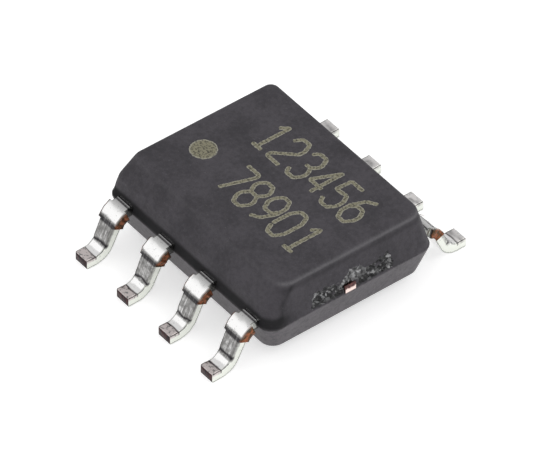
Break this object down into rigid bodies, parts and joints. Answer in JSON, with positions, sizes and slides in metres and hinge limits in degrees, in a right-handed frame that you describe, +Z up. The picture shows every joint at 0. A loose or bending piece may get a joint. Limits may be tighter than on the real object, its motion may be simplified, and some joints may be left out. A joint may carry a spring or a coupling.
{
  "type": "soic chip",
  "caption": "Small outline integrated circuit: black moulded body bevelled along the first row of leads, with tin-plated gull-wing leads and a die, pad and bond wires inside.",
  "frame": {"origin": "middle of the seating plane, under the middle of the body, where the feet's undersides lie", "axes": "+Z up from the board, +X along the body from lead 1 to lead 4, +Y from the bevelled side (leads 1 to 4) to the other side (leads 5 to 8)"},
  "size_m": [0.005, 0.006, 0.0018],
  "materials": {
    "mould_compound": "matte charcoal epoxy with a fine grain",
    "tinned_lead": "tin plating over copper alloy, bare copper where the dam bars and toes were cut",
    "bare_copper": "stamped copper alloy",
    "die_glue": "silver-filled glue",
    "silicon": "polished silicon with a patterned face",
    "bond_wire": "drawn gold wire"
  },
  "bodies": {
    "root": {"mould_body": "mould_compound", "die_pad": "bare_copper", "die_attach": "die_glue", "silicon_die": "silicon", "lead_1": "tinned_lead", "lead_2": "tinned_lead", "lead_3": "tinned_lead", "lead_4": "tinned_lead", "lead_5": "tinned_lead", "lead_6": "tinned_lead", "lead_7": "tinned_lead", "lead_8": "tinned_lead", "bond_wire_1": "bond_wire", "bond_wire_2": "bond_wire", "bond_wire_3": "bond_wire", "bond_wire_4": "bond_wire", "bond_wire_5": "bond_wire", "bond_wire_6": "bond_wire", "bond_wire_7": "bond_wire", "bond_wire_8": "bond_wire"}
  },
  "joints": []
}
